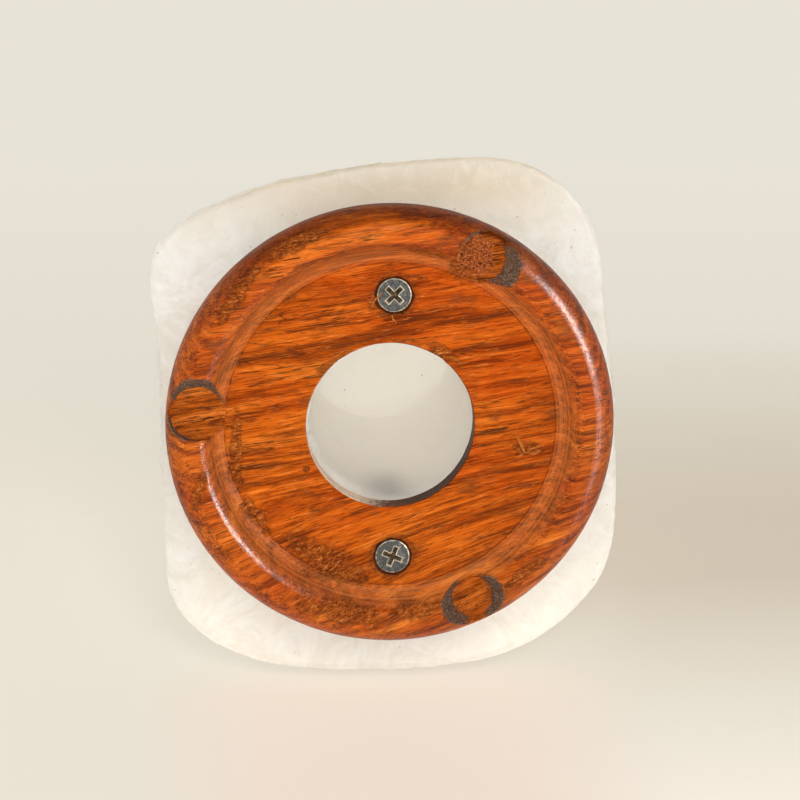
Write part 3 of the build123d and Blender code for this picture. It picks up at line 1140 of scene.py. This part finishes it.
def make_plastic():
    """Moulded natural nylon."""
    g = Graph(bpy.data.materials.new("natural_nylon"))
    p = g.places()
    return g.surface(g.principled({
        "Base Color": g.ramp(g.noise(p, (6, 6, 20), 2), NYLON_TONES),
        "Roughness": 0.48,
        "Normal": g.bump(g.noise(p, (0.6, 0.6, 0.6), 3), 0.03),
    }))


# ---------------- stage and light

# Sizes and places in this section are in metres
PALE = paint(232, 227, 215)
PALE_LOW = paint(222, 216, 201)
SHADE = paint(58, 54, 48)
GROUND = paint(236, 230, 220)
# The table's paper: plain, with painted light at its front right, painted shade at its far right
# and a painted warm glow below the lamp
PAPER = paint(234, 228, 215)
PAPER_FRONT = paint(248, 239, 227)
PAPER_DIM = paint(203, 190, 172)
PAPER_PAINTED_GLOW = paint(243, 225, 210)
TABLE_TILT = radians(6.5)
TABLE_HALF_WIDTH = 1.5
TABLE_FRONT, TABLE_BACK = -0.9, 1.4
# How much of the table the camera sees in its paper's painted colour, with its painted light, shade
# and glow, whatever light falls on it
PAINTED_COLOUR_SHARE = 0.75
# Each lamp: direction, distance, width, height, power in watts, colour, whether it lights
# surfaces, and whether it shows in their gloss
LAMPS = {
    "right_softbox": ((0.80, 0.05, -0.60), 1.0, 0.3, 0.7, 0.5, (1.0, 0.95, 0.90), True, True),
    "right_glint": ((0.80, -0.20, -0.60), 1.0, 0.24, 0.45, 26, (1.0, 0.94, 0.89), False, True),
    "left_fill": ((-0.80, -0.30, -0.60), 1.1, 0.6, 0.8, 3.9, (1.0, 0.97, 0.93), True, False),
    "low_fill": ((0.0, 0.90, -0.45), 1.1, 0.6, 0.4, 3.1, (1.0, 0.96, 0.92), True, False),
    "front_fill": ((0.06, -0.40, -1.0), 1.1, 0.3, 0.3, 12.3, (1.0, 0.94, 0.87), True, False),
    "overhead": ((0.15, -0.35, 0.95), 1.1, 0.7, 0.7, 6.5, (1.0, 0.95, 0.89), True, False),
}
LAMP_AIM = Vector((0, 0, 0.05))


def add_plane(name, corners, material):
    """A flat stage sheet through four corners, facing the side from which they run clockwise."""
    mesh = bpy.data.meshes.new(name)
    mesh.from_pydata([tuple(c) for c in corners], [], [(0, 1, 2, 3)])
    sheet = add_object(name, mesh)
    mesh.materials.append(material)
    sheet.visible_shadow = False
    return sheet


def one_sided(g, shader, opacity=1.0):
    """The shader as seen from the front of a sheet, and nothing as seen from behind it."""
    back = g.add("NewGeometry").outputs["Backfacing"]
    shown = g.times(g.rest(back), opacity)
    clear = g.add("BsdfTransparent").outputs[0]
    return g.surface(g.add("MixShader", {0: shown, 1: clear, 2: shader}).outputs[0])


def make_table():
    """The glossy surface that the lamp lies on, fading into the pale background."""
    g = Graph(bpy.data.materials.new("table_paper"))
    across, _, deep = g.parts(g.add("TexCoord").outputs["Object"])
    rightward = g.rescale(across, -0.02, 0.07)
    # Painted light at the front right and painted shade at the far right
    front = g.times(rightward, g.rescale(deep, -0.01, -0.05))
    dim = g.times(rightward, g.rescale(deep, -0.01, 0.08))
    # Painted warm glow below the lamp
    below = g.rescale(g.math("ABSOLUTE", across), 0.065, 0.03)
    below = g.times(below, g.rescale(deep, 0.03, 0.01))
    paper = g.blend(front, PAPER, PAPER_FRONT)
    paper = g.blend(dim, paper, PAPER_DIM)
    paper = g.blend(below, paper, PAPER_PAINTED_GLOW)
    lit = g.principled({"Base Color": PAPER, "Roughness": 0.28, "Specular IOR Level": 0.5})
    glow = g.add("Emission", {"Color": paper}).outputs[0]
    share = g.times(g.add("LightPath").outputs["Is Camera Ray"], PAINTED_COLOUR_SHARE)
    sheet = g.add("MixShader", {0: share, 1: lit, 2: glow}).outputs[0]
    return one_sided(g, sheet, g.rescale(deep, 0.13, 0.28, 1.0, 0.0))


def make_ground():
    """The floor that the lamp stands on in the upright views."""
    g = Graph(bpy.data.materials.new("ground_paper"))
    return one_sided(g, g.principled({"Base Color": GROUND, "Roughness": 0.6}))


def add_lamp(name, direction, distance, width, height, power, colour, lights, shows):
    """A rectangular area light that faces the lamp."""
    light = bpy.data.lights.new(name, "AREA")
    light.shape = "RECTANGLE"
    light.size, light.size_y = width, height
    light.energy = power
    light.color = colour
    lamp = add_object(name, light)
    lamp.location = Vector(direction).normalized() * distance
    lamp.visible_diffuse = lights
    lamp.visible_glossy = shows
    look_at(lamp, LAMP_AIM, Vector((0, -1, 0.1)))


def make_world():
    """A pale room all round, darker on the photographer's side below and less lit from -Y."""
    world = bpy.data.worlds.new("studio")
    bpy.context.scene.world = world
    g = Graph(world, "OutputWorld")
    _, y, z = g.parts(g.add("TexCoord").outputs["Generated"])
    unseen = g.rest(g.add("LightPath").outputs["Is Camera Ray"])
    dimmed = g.times(g.rescale(y, -0.1, -0.8, 0, 0.6), unseen)
    bright = g.math("SUBTRACT", g.rescale(z, -0.75, -0.1), dimmed)
    pale = g.blend(g.rescale(y, 0.17, 0.27), PALE, PALE_LOW)
    room = g.blend(bright, SHADE, pale)
    g.surface(g.add("Background", {0: room}).outputs[0])


def build_stage(crystal):
    """The table under the lying lamp, the ground under the standing one, and the lights."""
    across = Vector((0, cos(TABLE_TILT), sin(TABLE_TILT)))
    along = Vector((0, -sin(TABLE_TILT), cos(TABLE_TILT)))
    middle = across * (vertices_of(crystal.data) @ np.array(across)).max() * MM
    side = TABLE_HALF_WIDTH
    ends = ((TABLE_FRONT, -side), (TABLE_FRONT, side), (TABLE_BACK, side), (TABLE_BACK, -side))
    corners = [middle + along * end + Vector((x, 0, 0)) for end, x in ends]
    add_plane("table", corners, make_table())
    corners = [(-side, -side, 0), (side, -side, 0), (side, side, 0), (-side, side, 0)]
    ground = add_plane("ground", corners, make_ground())
    ground.visible_diffuse = ground.visible_glossy = ground.visible_transmission = False
    for name, settings in LAMPS.items():
        add_lamp(name, *settings)
    make_world()


# ---------------- assembly


def set_material(piece, material):
    """Gives a piece one material in place of those that it has."""
    piece.data.materials.clear()
    piece.data.materials.append(material)


def dress(piece, node, material):
    """Makes a piece stand for a CAD node, with its material."""
    set_material(piece, material)
    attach(piece, "root")
    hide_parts(node)


crystal = make_crystal()
dress(crystal, "salt_crystal", make_salt())
dress(make_base(), "wooden_base", make_wood())
steel = make_steel()
for node in SCREWS:
    dress(make_screw(node), node, steel)
plastic = make_plastic()
for node in PLUGS:
    set_material(frame["nodes"][node], plastic)
build_stage(crystal)
